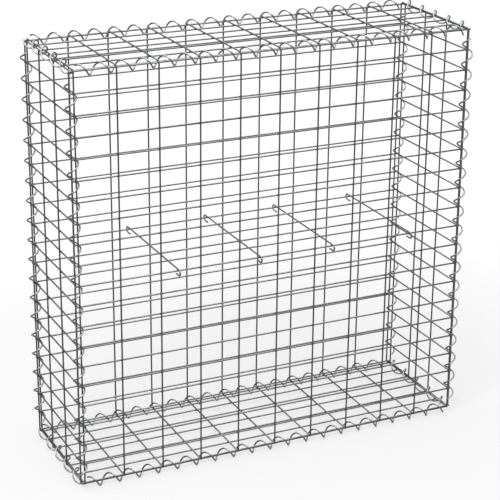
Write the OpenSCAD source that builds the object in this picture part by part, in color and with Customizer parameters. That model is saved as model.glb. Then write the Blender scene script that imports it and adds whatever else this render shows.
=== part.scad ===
// Empty welded-mesh gabion basket, 1000 x 300 x 1000 mm between its edge wires.
// Six flat mesh panels are laced together along all twelve edges by spiral
// binders, and four hooked tie wires hold the front to the back.
// Millimetres, Z up, front towards -Y, origin at the bottom centre.

/* [Basket] */
// length between the edge wires of the front and back panels
basket_l = 1000; // [600:10:1200]
// width between the edge wires of the side panels
basket_w = 300; // [240:10:500]
// height between the lowest and the highest cross wire
basket_h = 1000; // [600:10:1100]

/* [Mesh] */
// diameter of the mesh wires
wire_d = 4; // [3:0.5:5]
// how far a weld sinks one wire into the wire it crosses
weld_sink = 0.5; // [0.3:0.1:0.8]
// bays along the length, between upright wires
bays_l = 10; // [6:1:12]
// bays up the height, between cross wires
bays_h = 20; // [10:1:22]
// bays across a side panel, between upright wires
bays_side = 3; // [2:1:5]
// bays across the lid and the base
bays_lid = 6; // [4:1:10]
// clearance where one panel's wires lie against another panel's
rest_gap = 0.3; // [0.2:0.1:0.5]
// length of a cut wire end past the wire it is welded to
stub_l = 2; // [1:0.5:4]

/* [Spirals] */
// mean diameter of a spiral binder
coil_d = 25; // [24:0.5:28]
// diameter of the spiral's wire
coil_wire = 4; // [3:0.5:4.5]
// turns of a spiral in each bay of the length
turns_per_bay = 2; // [1:1:3]
// least distance from a corner to the cut end of an upright spiral
coil_trim = 20; // [18:1:30]
// part of a turn by which the back's upright spirals are turned down
back_down = 0.24; // [0.2:0.01:0.3]
// pitch of the short spirals, in bays of the lid
short_pitch = 1.25; // [1.2:0.05:1.3]
// turns of a short spiral
short_turns = 4.5; // [3.5:0.5:4.5]

/* [Tie wires] */
// diameter of the tie wires
tie_d = 4; // [3:0.5:5]
// inner radius of the hook at each end of a tie
hook_r = 5; // [4:0.5:8]
// length of the straight tail after the hook
tail_l = 16; // [10:1:24]
// how far the hook's bend starts outside the panel's upright wires
hook_out = 2; // [1:0.5:6]
// cross wire, counted from the bottom, that the ties hold
tie_row = 10; // [4:1:16]
// place of the four ties, as parts of the length from the middle
tie_at = [-0.257, -0.047, 0.147, 0.362];

/* [Hidden] */

// colour of the zinc coat
zinc = [0.62, 0.63, 0.64];

// wires of the mesh are eight-sided bars with the area of a round wire
bar_sides = 8;
bar_r = wire_d / 2 * sqrt(PI / (bar_sides / 2 * sin(360 / bar_sides)));
bar_flat = 2 * bar_r * cos(180 / bar_sides);
// depth from one layer of a mesh to the other, welded
layer = bar_flat - weld_sink;
// distance between wires of two panels that lie against each other
against = bar_flat + rest_gap;

// mesh pitches
pitch_l = basket_l / bays_l;
pitch_h = basket_h / bays_h;
pitch_side = basket_w / bays_side;
pitch_lid = basket_w / bays_lid;

// front and back panels: cross wires inside, uprights outside
cross_y = basket_w / 2 + against;
upright_y = cross_y + layer;
// side panels: cross wires inside, uprights outside
side_cross_x = basket_l / 2 + against;
side_up_x = side_cross_x + layer;
// lid and base: one layer lies against the rims, the other is nearly flush with them
rest_z = against;
flush_z = against - layer;
// half-lengths of the flush wires, which stop short of the rims
flush_l = side_cross_x - bar_flat / 2 - rest_gap;
flush_w = cross_y - bar_flat / 2 - rest_gap;

// five-sided spiral wire with the area of a round wire
ring_sides = 5;
ring_r = coil_wire / 2 * sqrt(PI / (ring_sides / 2 * sin(360 / ring_sides)));
// steps of a spiral in each turn, and the radius that keeps its mean size
turn_steps = 8;
coil_r = coil_d / (1 + cos(180 / turn_steps));
// clear radius inside a spiral, and outer radius at a step
coil_in = coil_r * cos(180 / turn_steps) / cos(90 / turn_steps) - ring_r;
coil_out = coil_r + ring_r * cos(180 / ring_sides);
// distance from a spiral's axis to the wire that it bears on
bear = coil_in - bar_flat / 2 - rest_gap;

// steps cut from a long spiral at its right end, clear of the right panel
end_cut = 3;

// axes of the long spirals, midway between the two wires that they lace
long_y = basket_w / 2 + against / 2;
top_axis_z = basket_h + flush_z / 2;
base_axis_z = -rest_z / 2;
// axes of the short spirals, in the same way
short_x = basket_l / 2 + against / 2;
top_short_z = basket_h + rest_z / 2;
base_short_z = -flush_z / 2;
// axes of the upright spirals, which bear on the long panels' edge wires
corner_x = basket_l / 2 + bear * cos(45);
corner_y = upright_y - bear * sin(45);

// pitches of the long and short spirals
coil_pitch_l = pitch_l / turns_per_bay;
coil_pitch_w = pitch_lid * short_pitch;
// room that a sloping turn needs beside a wire that it passes
beside = bar_r + ring_r + rest_gap;
beside_l = beside / cos(atan(coil_pitch_l / (PI * coil_d)));
beside_h = beside / cos(atan(pitch_h / (PI * coil_d)));
beside_w = beside / cos(atan(coil_pitch_w / (PI * coil_d)));
// angles at which a spiral meets resting wires, flush wires and uprights
rest_angle = asin((2 * rest_z - flush_z) / coil_d);
flush_angle = asin((rest_z - 2 * flush_z) / coil_d);
upright_angle = acos((2 * layer + against) / coil_d);
// the front's long spirals lie against bars across, the back's against uprights
front_top = coil_pitch_l * (90 - rest_angle) / 360 + beside_l;
front_base = coil_pitch_l * (90 - flush_angle) / 360 + beside_l;
back_top = coil_pitch_l * (90 + upright_angle) / 360 - beside_l;
back_base = coil_pitch_l * (90 - upright_angle) / 360 + beside_l;
// the front's upright spirals rest on the side panels' cross wires
cross_angle = acos((corner_x - side_cross_x) / (coil_d / 2));
left_seat = beside_h - pitch_h * cross_angle / 360;
right_seat = beside_h - pitch_h * (180 - cross_angle) / 360;
back_seat = -pitch_h * back_down;

// height of the lowest cross wire when the basket stands on its spirals
lift = coil_out - base_axis_z;

// a bar along each axis, centred
module bar_z(l) {
  rotate([0, 0, 180 / bar_sides])
    cylinder(h = l, r = bar_r, center = true, $fn = bar_sides);
}

module bar_x(l) {
  rotate([0, 90, 0])
    bar_z(l);
}

module bar_y(l) {
  rotate([90, 0, 0])
    bar_z(l);
}

// one point of the spiral's skin: step i, corner j, along +Z
function skin(i, j, pitch, phase) =
  let (a = phase + i * 360 / turn_steps)
  let (b = 180 / ring_sides + j * 360 / ring_sides)
  let (lean = atan(pitch / (PI * coil_d)))
  let (r = coil_r + ring_r * cos(b))
  let (s = ring_r * sin(b))
  [
    r * cos(a) + s * sin(lean) * sin(a),
    r * sin(a) - s * sin(lean) * cos(a),
    pitch * i / turn_steps + s * cos(lean)
  ];

// a right-handed spiral of wire along +Z that starts at angle phase
module spiral(steps, pitch, phase) {
  points = [for (i = [0:steps], j = [0:ring_sides - 1]) skin(i, j, pitch, phase)];
  sides = [
    for (i = [0:steps - 1], j = [0:ring_sides - 1], half = [0, 1])
    let (a = i * ring_sides + j)
    let (b = i * ring_sides + (j + 1) % ring_sides)
    half == 0 ? [a, b, a + ring_sides] : [b, b + ring_sides, a + ring_sides]
  ];
  first = [for (j = [0:ring_sides - 1]) ring_sides - 1 - j];
  last = [for (j = [0:ring_sides - 1]) steps * ring_sides + j];
  polyhedron(points = points, faces = concat(sides, [first, last]));
}

// front panel, seen from outside; the back panel is the same one turned round
module long_panel() {
  color(zinc)
    translate([0, 0, lift])
      union() {
        for (i = [0:bays_l])
          translate([i * pitch_l - basket_l / 2, -upright_y, basket_h / 2])
            bar_z(basket_h + 2 * stub_l);
        for (k = [0:bays_h])
          translate([0, -cross_y, k * pitch_h])
            bar_x(2 * side_up_x + 2 * stub_l);
      }
}

// left panel; the right panel is the same one turned round
module short_panel() {
  color(zinc)
    translate([0, 0, lift])
      union() {
        for (i = [0:bays_side])
          translate([-side_up_x, i * pitch_side - basket_w / 2, basket_h / 2])
            bar_z(basket_h + 2 * stub_l);
        for (k = [0:bays_h])
          translate([-side_cross_x, 0, k * pitch_h])
            bar_y(basket_w + 2 * stub_l);
      }
}

// lid or base: bars across and long wires, each at its own height and half-length
module flat_panel(bar_at, bar_half, long_at, long_half) {
  color(zinc)
    union() {
      for (i = [0:bays_l])
        translate([i * pitch_l - basket_l / 2, 0, bar_at])
          bar_y(2 * bar_half);
      for (k = [0:bays_lid])
        translate([0, k * pitch_lid - basket_w / 2, long_at])
          bar_x(2 * long_half);
    }
}

module front_panel() {
  long_panel();
}

module back_panel() {
  rotate([0, 0, 180])
    long_panel();
}

module left_panel() {
  short_panel();
}

module right_panel() {
  rotate([0, 0, 180])
    short_panel();
}

module lid_panel() {
  translate([0, 0, lift + basket_h])
    flat_panel(rest_z, cross_y, flush_z, flush_l);
}

module base_panel() {
  translate([0, 0, lift])
    flat_panel(-flush_z, flush_w, -rest_z, side_cross_x);
}

// a spiral along the length; over is where it first passes over the top
module long_spiral(y, z, over) {
  color(zinc)
    translate([over - coil_pitch_l / turn_steps - basket_l / 2, y, z + lift])
      rotate([0, 90, 0])
        spiral(turn_steps * turns_per_bay * bays_l - end_cut, coil_pitch_l, 180 - 360 / turn_steps);
}

// a spiral up a corner; seat is its height where it faces +X
module upright_spiral(x, y, seat) {
  step = pitch_h / turn_steps;
  first = ceil((coil_trim - seat) / step);
  last = floor((basket_h - coil_trim - seat) / step);
  color(zinc)
    translate([x, y, seat + first * step + lift])
      spiral(last - first, pitch_h, first * 360 / turn_steps);
}

// a spiral along a short edge, which passes the first long wire at angle inner
module short_spiral(x, z, inner) {
  start = -short_turns * coil_pitch_w / 2;
  on = start + basket_w / 2 - beside_w;
  color(zinc)
    translate([x, start, z + lift])
      rotate([-90, 0, 0])
        spiral(turn_steps * short_turns, coil_pitch_w, inner + 360 * on / coil_pitch_w);
}

module spiral_top_front() {
  long_spiral(-long_y, top_axis_z, front_top);
}

module spiral_top_back() {
  long_spiral(long_y, top_axis_z, back_top);
}

module spiral_base_front() {
  long_spiral(-long_y, base_axis_z, front_base);
}

module spiral_base_back() {
  long_spiral(long_y, base_axis_z, back_base);
}

module spiral_top_left() {
  short_spiral(-short_x, top_short_z, flush_angle);
}

module spiral_top_right() {
  short_spiral(short_x, top_short_z, 180 - flush_angle);
}

module spiral_base_left() {
  short_spiral(-short_x, base_short_z, rest_angle);
}

module spiral_base_right() {
  short_spiral(short_x, base_short_z, 180 - rest_angle);
}

module spiral_front_left() {
  upright_spiral(-corner_x, -corner_y, left_seat);
}

module spiral_front_right() {
  upright_spiral(corner_x, -corner_y, right_seat);
}

module spiral_back_left() {
  upright_spiral(-corner_x, corner_y, back_seat);
}

module spiral_back_right() {
  upright_spiral(corner_x, corner_y, back_seat);
}

// a hooked tie that lies over the front and back cross wires of its row
module tie_wire(at) {
  bend = hook_r + tie_d / 2;
  reach = upright_y + bar_flat / 2 + hook_out;
  over = lift + tie_row * pitch_h + bar_flat / 2 + rest_gap + tie_d / 2;
  color(zinc)
    translate([at * basket_l, 0, over])
      union() {
        rotate([90, 0, 0])
          cylinder(h = 2 * reach, d = tie_d, center = true, $fn = 48);
        for (turn = [0, 180])
          rotate([0, 0, turn])
            translate([0, -reach, -bend]) {
              rotate([90, 0, 90])
                rotate([0, 0, 90])
                  rotate_extrude(angle = 180, $fn = 48)
                    translate([bend, 0])
                      circle(d = tie_d, $fn = 48);
              translate([0, 0, -bend])
                rotate([-90, 0, 0])
                  cylinder(h = tail_l, d = tie_d, $fn = 48);
            }
      }
}

module tie_wire_1() {
  tie_wire(tie_at[0]);
}

module tie_wire_2() {
  tie_wire(tie_at[1]);
}

module tie_wire_3() {
  tie_wire(tie_at[2]);
}

module tie_wire_4() {
  tie_wire(tie_at[3]);
}

front_panel();
back_panel();
left_panel();
right_panel();
lid_panel();
base_panel();
spiral_top_front();
spiral_top_back();
spiral_top_left();
spiral_top_right();
spiral_base_front();
spiral_base_back();
spiral_base_left();
spiral_base_right();
spiral_front_left();
spiral_front_right();
spiral_back_left();
spiral_back_right();
tie_wire_1();
tie_wire_2();
tie_wire_3();
tie_wire_4();
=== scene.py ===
# %% [markdown]
# # An empty gabion basket
# A gabion basket is a box of welded wire mesh that is filled with stones to make a wall.
# The exact solids come in as a fixed frame: six flat panels, twelve spiral binders and four ties.
# This lesson gives each of them the round wire, the welds and the zinc coat of the real thing.

import math

import bmesh
import bpy
from mathutils import Matrix, Vector


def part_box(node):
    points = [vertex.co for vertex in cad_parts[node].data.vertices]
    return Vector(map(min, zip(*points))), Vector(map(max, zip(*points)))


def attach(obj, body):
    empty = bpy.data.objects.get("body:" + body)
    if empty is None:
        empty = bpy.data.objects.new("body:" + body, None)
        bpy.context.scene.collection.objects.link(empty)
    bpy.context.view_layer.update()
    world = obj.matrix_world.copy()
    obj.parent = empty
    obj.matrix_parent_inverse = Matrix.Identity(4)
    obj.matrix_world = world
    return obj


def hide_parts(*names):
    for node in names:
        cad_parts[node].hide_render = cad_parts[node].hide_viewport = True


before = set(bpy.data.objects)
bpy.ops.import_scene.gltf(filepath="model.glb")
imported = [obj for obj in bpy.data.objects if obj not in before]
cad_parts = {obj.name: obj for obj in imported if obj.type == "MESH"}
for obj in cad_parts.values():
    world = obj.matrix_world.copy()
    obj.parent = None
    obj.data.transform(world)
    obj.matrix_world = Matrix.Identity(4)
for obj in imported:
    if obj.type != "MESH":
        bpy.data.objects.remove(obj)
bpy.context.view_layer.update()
print("solids in the frame:", len(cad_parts))

# %% [markdown]
# ## The sizes of the mesh
# The bays are 100 mm wide and 50 mm high, and every wire is 4 mm thick.
# A welded mesh has two layers of wire, and the welds sink one layer into the other by a little over
# half a millimetre: LAYER is the step that is left between them. Panels that lie against each other
# keep a hair of air, which AGAINST takes in, and a wire runs on past its last crossing by STUB.
# The height of the lowest cross wire is read from the frame, so the mesh lands where the solids are.

# %% Sizes in metres
LENGTH = 1.0
WIDTH = 0.3
HEIGHT = 1.0
BAY = 0.1
ROW = 0.05
WIRE = 0.004
STUB = 0.002
LAYER = 0.003395
AGAINST = 0.004195

lowest_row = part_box("front_panel")[0].z + STUB
print("lowest cross wire is", round(lowest_row * 1000, 2), "mm above the ground")

# %% [markdown]
# ## One straight wire
# Mesh wire is drawn round, straightened and sheared to length, which leaves a slightly rounded rim.
# A cone operator with two equal radii makes the round bar, and a small bevel softens the cut.
# Fourteen sides with smooth shading are enough for a wire that is repeated so often.

# %% A wire between two points
WIRE_SIDES = 14
CUT_ROUNDING = WIRE * 0.12
CUT_STEPS = 2


def soften_cut(bm, rims):
    bmesh.ops.bevel(
        bm, geom=rims, offset=CUT_ROUNDING, offset_type="OFFSET", segments=CUT_STEPS, profile=0.5,
        affect="EDGES", material=-1)


def straight_wire(bm, start, end):
    start, end = Vector(start), Vector(end)
    run = end - start
    turn = run.to_track_quat("Z", "Y").to_matrix().to_4x4()
    bar = bmesh.ops.create_cone(
        bm, cap_ends=True, segments=WIRE_SIDES, radius1=WIRE / 2, radius2=WIRE / 2,
        depth=run.length, matrix=Matrix.Translation((start + end) / 2) @ turn)
    ends = {f for v in bar["verts"] for f in v.link_faces if len(f.verts) == WIRE_SIDES}
    soften_cut(bm, list({e for f in ends for e in f.edges}))


# %% [markdown]
# ## One weld
# Where two wires cross, the welding machine squeezes them together and a little metal wells up.
# A low ball, flattened along the depth of the mesh, is the cheapest honest shape for that bead:
# there are hundreds of them, so each one has only forty faces. They take the panel's second coat.

# %% A bead of weld metal
X, Y, Z = range(3)
BEAD_SIDES = 8
BEAD_RINGS = 5
BEAD_ACROSS = 0.0031
BEAD_DEEP = 0.0019
WELD_COAT = 1


def weld_bead(bm, point, depth_axis):
    size = [BEAD_ACROSS] * 3
    size[depth_axis] = BEAD_DEEP
    ball = bmesh.ops.create_uvsphere(
        bm, u_segments=BEAD_SIDES, v_segments=BEAD_RINGS, radius=1.0,
        matrix=Matrix.Translation(point) @ Matrix.Diagonal((*size, 1.0)))
    for face in {f for v in ball["verts"] for f in v.link_faces}:
        face.material_index = WELD_COAT


# %% [markdown]
# ## A finished piece
# A bmesh becomes an object at the origin, so that its place is in its mesh as it is for the solids.
# Smooth shading follows the round wire, and the sharp-angle limit keeps the cut ends crisp.
# Each piece rides on the basket, stands for its solid and names the finish that it takes.

# %% From bmesh to a piece of the basket
CRISP = math.radians(40)


def piece(bm, node, coats):
    bmesh.ops.recalc_face_normals(bm, faces=bm.faces)
    for face in bm.faces:
        face.smooth = True
    for edge in bm.edges:
        edge.smooth = len(edge.link_faces) != 2 or edge.calc_face_angle() < CRISP
    mesh = bpy.data.meshes.new(node + "_wire")
    bm.to_mesh(mesh)
    bm.free()
    for coat in coats:
        mesh.materials.append(coat)
    thing = bpy.data.objects.new(node + "_wire", mesh)
    bpy.context.scene.collection.objects.link(thing)
    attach(thing, "root")
    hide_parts(node)
    print(node, "has", len(mesh.polygons), "faces")


# %% [markdown]
# ## The zinc coat
# The wire is coated with zinc, which dulls to a grey with soft cloudy patches and a fine grain; the
# tones here are darker still, a painted shade that stands in for a dark room reflected in the wire.
# Two noise textures on Object coordinates give that: a slow one that drifts over a hand's breadth,
# and a fine one of a millimetre or so that also roughens the gloss and lifts a faint bump.
# A metal's colour tints what it reflects, so Metallic stays at one on the shader's own socket.

# %% A coat of zinc, darker or brighter
CLOUD = {"Scale": 22.0, "Detail": 3.0}
GRAIN = {"Scale": 700.0, "Detail": 4.0}
GRAIN_SHARE = 0.4
GRAIN_BUMP = {"Strength": 0.25, "Distance": 0.0002}
TONE_FROM, TONE_TO = 0.32, 0.68
GLOSS_FROM, GLOSS_TO = 0.3, 0.7
MIX_A, MIX_B = 2, 3


def node_with(nodes, kind, values):
    node = nodes.new(kind)
    for socket, value in values.items():
        node.inputs[socket].default_value = value
    return node


def zinc_coat(name, dark, bright, matt, shiny):
    coat = bpy.data.materials.new(name)
    coat.use_nodes = True
    nodes, links = coat.node_tree.nodes, coat.node_tree.links
    shader = nodes["Principled BSDF"]
    shader.inputs["Metallic"].default_value = 1.0
    place = nodes.new("ShaderNodeTexCoord")
    cloud = node_with(nodes, "ShaderNodeTexNoise", CLOUD)
    grain = node_with(nodes, "ShaderNodeTexNoise", GRAIN)
    blend = node_with(nodes, "ShaderNodeMix", {"Factor": GRAIN_SHARE})
    tone = nodes.new("ShaderNodeValToRGB")
    dull_end, bright_end = tone.color_ramp.elements
    dull_end.position, bright_end.position = TONE_FROM, TONE_TO
    dull_end.color, bright_end.color = (*dark, 1.0), (*bright, 1.0)
    gloss = node_with(nodes, "ShaderNodeMapRange", {
        "From Min": GLOSS_FROM, "From Max": GLOSS_TO, "To Min": shiny, "To Max": matt})
    bump = node_with(nodes, "ShaderNodeBump", GRAIN_BUMP)
    for noise in (cloud, grain):
        links.new(place.outputs["Object"], noise.inputs["Vector"])
    links.new(cloud.outputs["Fac"], blend.inputs[MIX_A])
    links.new(grain.outputs["Fac"], blend.inputs[MIX_B])
    links.new(blend.outputs[0], tone.inputs["Fac"])
    links.new(tone.outputs["Color"], shader.inputs["Base Color"])
    links.new(grain.outputs["Fac"], gloss.inputs["Value"])
    links.new(gloss.outputs["Result"], shader.inputs["Roughness"])
    links.new(grain.outputs["Fac"], bump.inputs["Height"])
    links.new(bump.outputs["Normal"], shader.inputs["Normal"])
    return coat


# %% [markdown]
# ## Four coats
# The mesh and the ties share their tones. The welds are a little darker and rougher. The spirals are
# smoother, and their tones are painted brighter, a painted highlight for the light that the coils
# catch.

# %% Mix the four coats
# All these tones are darker than zinc is: painted shade that stands in for a dark room reflected in
# the wire.
DRAWN_WIRE = {
    "dark": (0.055, 0.056, 0.058), "bright": (0.1, 0.102, 0.105), "matt": 0.34, "shiny": 0.2}
WELD_METAL = {
    "dark": (0.04, 0.04, 0.042), "bright": (0.075, 0.075, 0.078), "matt": 0.55, "shiny": 0.35}
# The spirals' brighter tones are a painted highlight for the light that the coils catch.
COILED_WIRE = {
    "dark": (0.08, 0.082, 0.085), "bright": (0.15, 0.153, 0.158), "matt": 0.26, "shiny": 0.14}

mesh_zinc = zinc_coat("mesh_zinc", **DRAWN_WIRE)
weld_zinc = zinc_coat("weld_zinc", **WELD_METAL)
spiral_zinc = zinc_coat("spiral_zinc", **COILED_WIRE)
tie_zinc = zinc_coat("tie_zinc", **DRAWN_WIRE)
print("zinc coats:", len([m for m in bpy.data.materials if m.name.endswith("zinc")]))

# %% [markdown]
# ## The front and back panels
# Eleven uprights stand outside twenty-one cross wires, and the cross wires run on past the corner
# to meet the end panels. An array could repeat the wires, but a loop that lays each one between two
# points reads like the jig in which the mesh is welded, and it gives the crossings for the welds.

# %% Weld the long panels
LONG_BAYS = 10
ROWS = 20
CROSS_Y = WIDTH / 2 + AGAINST
UPRIGHT_Y = CROSS_Y + LAYER
SIDE_CROSS_X = LENGTH / 2 + AGAINST
SIDE_UPRIGHT_X = SIDE_CROSS_X + LAYER

columns = [i * BAY - LENGTH / 2 for i in range(LONG_BAYS + 1)]
rows = [lowest_row + k * ROW for k in range(ROWS + 1)]
rim = lowest_row + HEIGHT
foot = lowest_row - STUB
head = rim + STUB


def long_panel(node, side):
    bm = bmesh.new()
    reach = SIDE_UPRIGHT_X + STUB
    for x in columns:
        straight_wire(bm, (x, side * UPRIGHT_Y, foot), (x, side * UPRIGHT_Y, head))
    for z in rows:
        straight_wire(bm, (-reach, side * CROSS_Y, z), (reach, side * CROSS_Y, z))
    for x in columns:
        for z in rows:
            weld_bead(bm, (x, side * (CROSS_Y + UPRIGHT_Y) / 2, z), Y)
    piece(bm, node, [mesh_zinc, weld_zinc])


long_panel("front_panel", -1)
long_panel("back_panel", 1)

# %% [markdown]
# ## The end panels
# The ends are made of the same mesh, four uprights wide. Their uprights are outside as well, and
# their cross wires stop just behind the front and back panels' cross wires. The welds on the corner
# posts sit a little further in, behind the cut ends, and so they clear those cross wires.

# %% Weld the end panels
END_BAYS = 3

posts = [i * BAY - WIDTH / 2 for i in range(END_BAYS + 1)]


def end_panel(node, side):
    bm = bmesh.new()
    reach = WIDTH / 2 + STUB
    for y in posts:
        straight_wire(bm, (side * SIDE_UPRIGHT_X, y, foot), (side * SIDE_UPRIGHT_X, y, head))
    for z in rows:
        straight_wire(bm, (side * SIDE_CROSS_X, -reach, z), (side * SIDE_CROSS_X, reach, z))
    furthest_weld = reach - BEAD_ACROSS
    for y in posts:
        weld_y = max(-furthest_weld, min(y, furthest_weld))
        for z in rows:
            weld_bead(bm, (side * (SIDE_CROSS_X + SIDE_UPRIGHT_X) / 2, weld_y, z), X)
    piece(bm, node, [mesh_zinc, weld_zinc])


end_panel("left_panel", -1)
end_panel("right_panel", 1)

# %% [markdown]
# ## The lid and the base
# Both lie the same way up. The lid's bars across rest on the rims and carry its long wires between
# them. The base's long wires lie under the end panels and its bars across lie between the rims.
# The frame's boxes tell where the ends of the bars are, so nothing has to be worked out again.

# %% Weld the lid and the base
LANE_GAPS = 6

lanes = [k * ROW - WIDTH / 2 for k in range(LANE_GAPS + 1)]


def flat_panel(node, bar_z, long_z):
    low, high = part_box(node)
    bm = bmesh.new()
    for x in columns:
        straight_wire(bm, (x, low.y, bar_z), (x, high.y, bar_z))
    for y in lanes:
        straight_wire(bm, (low.x, y, long_z), (high.x, y, long_z))
    for x in columns:
        for y in lanes:
            weld_bead(bm, (x, y, (bar_z + long_z) / 2), Z)
    piece(bm, node, [mesh_zinc, weld_zinc])


flat_panel("lid_panel", rim + AGAINST, rim + AGAINST - LAYER)
flat_panel("base_panel", lowest_row - AGAINST + LAYER, lowest_row - AGAINST)

# %% [markdown]
# ## The spiral binders
# A binder is a long open coil that is screwed in along two edges at once, and so laces them
# together. The solids of the coils have few sides, so each one is drawn again as smooth round wire.
# Where a coil starts is measured from its solid: the corners of the first step lie within a few
# millimetres of the end, and their middle is the middle of the wire.

# %% Measure a coil
COIL_RADIUS = 0.0125
FIRST_STEP = 0.0045
MICRON_DIGITS = 6


def coil_ends(node, axis):
    corners = [v.co.copy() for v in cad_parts[node].data.vertices]
    near = min(c[axis] for c in corners)
    far = max(c[axis] for c in corners)
    first_step = [c for c in corners if c[axis] < near + FIRST_STEP]
    last_step = [c for c in corners if c[axis] > far - FIRST_STEP]
    ends = []
    for step in (first_step, last_step):
        ring = {tuple(round(n, MICRON_DIGITS) for n in c): c for c in step}
        ends.append(sum(ring.values(), Vector()) / len(ring))
    return ends


# %% [markdown]
# ## Winding a coil
# A spin that also moves along its axis at every step is a screw, and it keeps the round section
# square to the wire. The section starts as a circle that leans with the pitch of the coil.
# Twenty-four steps to the turn look round from near by, and both ends are closed with a cut face.

# %% Wind a coil of wire
TURN_STEPS = 24
COIL_SIDES = 10


def wind(node, axis, pitch):
    first, last = coil_ends(node, axis)
    low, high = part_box(node)
    line = Vector((0.0, 0.0, 0.0))
    line[axis] = 1.0
    middle = (low + high) / 2
    middle[axis] = first[axis]
    out = (first - middle).normalized()
    lean = math.atan(pitch / (2 * math.pi * COIL_RADIUS))
    along = line.cross(out) * math.cos(lean) + line * math.sin(lean)
    section = Matrix((out, along.cross(out), along)).transposed().to_4x4()
    section.translation = middle + out * COIL_RADIUS
    turns = (last[axis] - first[axis]) / pitch
    steps = round(turns * TURN_STEPS)
    bm = bmesh.new()
    bmesh.ops.create_circle(
        bm, cap_ends=False, segments=COIL_SIDES, radius=WIRE / 2, matrix=section)
    bmesh.ops.spin(
        bm, geom=bm.verts[:] + bm.edges[:], cent=middle, axis=line,
        dvec=line * (turns * pitch / steps), angle=turns * 2 * math.pi, steps=steps,
        use_duplicate=False)
    open_rims = [e for e in bm.edges if len(e.link_faces) == 1]
    bmesh.ops.holes_fill(bm, edges=open_rims, sides=COIL_SIDES)
    soften_cut(bm, open_rims)
    print(node, "turns", round(turns, 2))
    piece(bm, node, [spiral_zinc])


# %% [markdown]
# ## Lacing the edges
# Four binders run along the length and four up the corners, with a turn in every 50 mm.
# The four short ones are the same coil pulled out a little further, to a turn in 62.5 mm.

# %% Lace all twelve edges
LONG_PITCH = ROW
SHORT_PITCH = ROW * 1.25

for edge in ("top_front", "top_back", "base_front", "base_back"):
    wind("spiral_" + edge, X, LONG_PITCH)
for edge in ("front_left", "front_right", "back_left", "back_right"):
    wind("spiral_" + edge, Z, LONG_PITCH)
for edge in ("top_left", "top_right", "base_left", "base_right"):
    wind("spiral_" + edge, Y, SHORT_PITCH)

# %% [markdown]
# ## The tie wires
# Four straight ties keep the stones from bulging the front and the back. Each one lies on a cross
# wire at both ends, and a hook is bent down and back around it.
# Half of a tie is a circle that is extruded along the rod, spun through the hook and extruded again
# for the tail. The other half is its mirror image, welded at the middle.

# %% Bend the ties
TIES = 4
BEND = 0.007
BEND_STEPS = 14
TAIL = 0.016
MERGE = 0.00001


def move_section(bm, loop, shift):
    made = bmesh.ops.extrude_edge_only(bm, edges=loop)["geom"]
    verts = [g for g in made if isinstance(g, bmesh.types.BMVert)]
    edges = [g for g in made if isinstance(g, bmesh.types.BMEdge)]
    bmesh.ops.translate(bm, verts=verts, vec=shift)
    return [e for e in edges if all(v in verts for v in e.verts)]


def tie_wire(node):
    low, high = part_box(node)
    x, rod_z = (low.x + high.x) / 2, high.z - WIRE / 2
    reach = -low.y - BEND - WIRE / 2
    bm = bmesh.new()
    section = Matrix.Translation((x, 0, rod_z)) @ Matrix.Rotation(math.radians(90), 4, "X")
    bmesh.ops.create_circle(
        bm, cap_ends=False, segments=WIRE_SIDES, radius=WIRE / 2, matrix=section)
    loop = move_section(bm, bm.edges[:], (0, -reach, 0))
    bent = bmesh.ops.spin(
        bm, geom=loop + list({v for e in loop for v in e.verts}), cent=(x, -reach, rod_z - BEND),
        axis=(1, 0, 0), angle=math.pi, steps=BEND_STEPS, use_duplicate=False)["geom_last"]
    loop = move_section(bm, [g for g in bent if isinstance(g, bmesh.types.BMEdge)], (0, TAIL, 0))
    bmesh.ops.holes_fill(bm, edges=loop, sides=0)
    soften_cut(bm, loop)
    half = bm.verts[:] + bm.edges[:] + bm.faces[:]
    bmesh.ops.mirror(bm, geom=half, axis="Y", merge_dist=MERGE)
    bmesh.ops.remove_doubles(bm, verts=bm.verts, dist=MERGE)
    piece(bm, node, [tie_zinc])


for number in range(1, TIES + 1):
    tie_wire("tie_wire_%d" % number)

# %% [markdown]
# ## The paper
# The basket stands alone on white paper. The paper itself is grey, so that it throws little light up
# at the wires, and it takes their soft shadow. A glow that only the eye and shiny wire see makes it
# white: the glow grows with the distance from the basket, so the paper is a breath of grey
# underneath it and plain white behind. That grey under and around the basket is painted shade.

# %% Mix the paper
WHITE = (1.0, 1.0, 1.0, 1.0)
PAPER = {
    "Base Color": (0.3, 0.3, 0.3, 1.0), "Roughness": 0.9, "Specular IOR Level": 0.0,
    "Emission Color": WHITE}
# Less glow near the basket paints a faint shade under and around it.
GLOW_BY_DISTANCE = {"From Min": 0.5, "From Max": 2.2, "To Min": 0.62, "To Max": 0.8}


def white_paper():
    paper = bpy.data.materials.new("white_paper")
    paper.use_nodes = True
    nodes, links = paper.node_tree.nodes, paper.node_tree.links
    shader = nodes["Principled BSDF"]
    for socket, value in PAPER.items():
        shader.inputs[socket].default_value = value
    place = nodes.new("ShaderNodeTexCoord")
    away = nodes.new("ShaderNodeVectorMath")
    away.operation = "LENGTH"
    fade = node_with(nodes, "ShaderNodeMapRange", GLOW_BY_DISTANCE)
    fade.interpolation_type = "SMOOTHSTEP"
    ray = nodes.new("ShaderNodeLightPath")
    seen = nodes.new("ShaderNodeMath")
    seen.operation = "MAXIMUM"
    glow = nodes.new("ShaderNodeMath")
    glow.operation = "MULTIPLY"
    links.new(place.outputs["Object"], away.inputs[0])
    links.new(away.outputs["Value"], fade.inputs["Value"])
    links.new(ray.outputs["Is Camera Ray"], seen.inputs[0])
    links.new(ray.outputs["Is Glossy Ray"], seen.inputs[1])
    links.new(seen.outputs[0], glow.inputs[0])
    links.new(fade.outputs["Result"], glow.inputs[1])
    links.new(glow.outputs[0], shader.inputs["Emission Strength"])
    return paper


# %% [markdown]
# ## The floor
# One wide grid is enough for the sheet of paper, and the white room behind it hides its far edge.

# %% Lay the floor
FLOOR_REACH = 40.0

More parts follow.
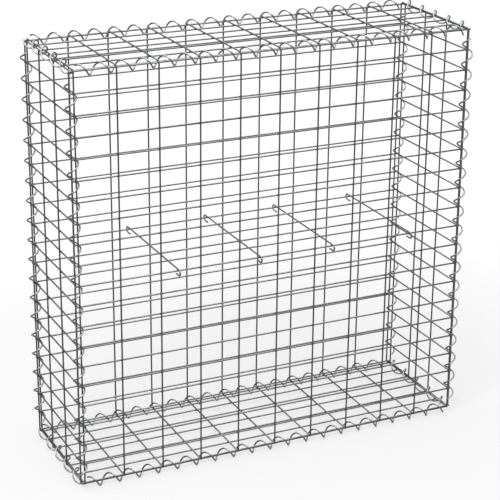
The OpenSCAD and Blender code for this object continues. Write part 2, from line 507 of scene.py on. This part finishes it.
sheet = bmesh.new()
bmesh.ops.create_grid(sheet, x_segments=1, y_segments=1, size=FLOOR_REACH)
floor_mesh = bpy.data.meshes.new("paper_floor")
sheet.to_mesh(floor_mesh)
sheet.free()
floor_mesh.materials.append(white_paper())
floor = bpy.data.objects.new("paper_floor", floor_mesh)
bpy.context.scene.collection.objects.link(floor)
print("floor laid at height 0, reaching", FLOOR_REACH, "m each way")

# %% [markdown]
# ## The white room
# The world is a white room that lights the wire from all sides. The camera sees it as plain white,
# and so does shiny wire, with a brighter ceiling above: the ceiling puts a white edge on wires that
# lie across the view, and leaves the uprights dark.

# %% Paint the room
ROOM_LIGHT = 0.75
PLAIN_WHITE = 1.0
CEILING_BY_HEIGHT = {"From Min": 0.55, "From Max": 0.7, "To Min": PLAIN_WHITE, "To Max": 8.0}

world = bpy.data.worlds.new("studio")
bpy.context.scene.world = world
world.use_nodes = True
room, joins = world.node_tree.nodes, world.node_tree.links
ray = room.new("ShaderNodeLightPath")
way = room.new("ShaderNodeTexCoord")
height = room.new("ShaderNodeSeparateXYZ")
ceiling = node_with(room, "ShaderNodeMapRange", CEILING_BY_HEIGHT)
ceiling.interpolation_type = "SMOOTHSTEP"
lit = node_with(room, "ShaderNodeMix", {MIX_A: ROOM_LIGHT})
plain = node_with(room, "ShaderNodeMix", {MIX_B: PLAIN_WHITE})
joins.new(way.outputs["Generated"], height.inputs[0])
joins.new(height.outputs["Z"], ceiling.inputs["Value"])
joins.new(ray.outputs["Is Glossy Ray"], lit.inputs["Factor"])
joins.new(ceiling.outputs["Result"], lit.inputs[MIX_B])
joins.new(ray.outputs["Is Camera Ray"], plain.inputs["Factor"])
joins.new(lit.outputs[0], plain.inputs[MIX_A])
joins.new(plain.outputs[0], room["Background"].inputs["Strength"])
room["Background"].inputs["Color"].default_value = WHITE
print("room light", ROOM_LIGHT, "with a ceiling of", CEILING_BY_HEIGHT["To Max"], "in reflections")

# %% [markdown]
# ## The lamp
# One large soft lamp hangs high on the left of the camera. It gives the wires a bright and a dark
# side, and the floor a soft shadow.

# %% Hang the lamp
MIDDLE = Vector((0.0, 0.0, HEIGHT / 2))
LAMP_PLACE = Vector((-2.6, -2.4, 4.2))
LAMP_SIZE = 2.0
LAMP_POWER = 160

lamp = bpy.data.lights.new("key_softbox", "AREA")
lamp.shape = "SQUARE"
lamp.size = LAMP_SIZE
lamp.energy = LAMP_POWER
softbox = bpy.data.objects.new("key_softbox", lamp)
softbox.location = LAMP_PLACE
softbox.rotation_euler = (LAMP_PLACE - MIDDLE).to_track_quat("Z", "Y").to_euler()
bpy.context.scene.collection.objects.link(softbox)
print("lamps:", len(bpy.data.lights))

# %% [markdown]
# ## The camera
# The camera looks down on the front from its left-hand side. Its angles and lens come from the rows
# and columns of the mesh in the picture, which fix a long lens about four metres away.

# %% Place the camera
AZIMUTH = math.radians(-25.6368)
ELEVATION = math.radians(20.7231)
ROLL = math.radians(0.5628)
DISTANCE = 4.09299
SLIDE_RIGHT = 0.00203
SLIDE_DOWN = 0.02285
FOCAL_PIXELS = 1661.21
PICTURE = 500
SENSOR = 36.0

right = Vector((math.cos(AZIMUTH), math.sin(AZIMUTH), 0.0))
back = Vector((
    math.sin(AZIMUTH) * math.cos(ELEVATION),
    -math.cos(AZIMUTH) * math.cos(ELEVATION),
    math.sin(ELEVATION)))
up = back.cross(right)
turn = Matrix((right, up, back)).transposed().to_4x4()
stand = MIDDLE + right * SLIDE_RIGHT - up * SLIDE_DOWN + back * DISTANCE
lens = bpy.data.cameras.new("camera")
lens.sensor_width = SENSOR
lens.lens = FOCAL_PIXELS * SENSOR / PICTURE
lens.dof.use_dof = False
camera = bpy.data.objects.new("camera", lens)
camera.matrix_world = Matrix.Translation(stand) @ turn @ Matrix.Rotation(ROLL, 4, "Z")
bpy.context.scene.collection.objects.link(camera)
bpy.context.scene.camera = camera
print("lens", round(lens.lens, 1), "mm")

# %% [markdown]
# ## Finish
# The picture keeps plain colours.

# %% Finish
bpy.context.scene.view_settings.view_transform = "Standard"
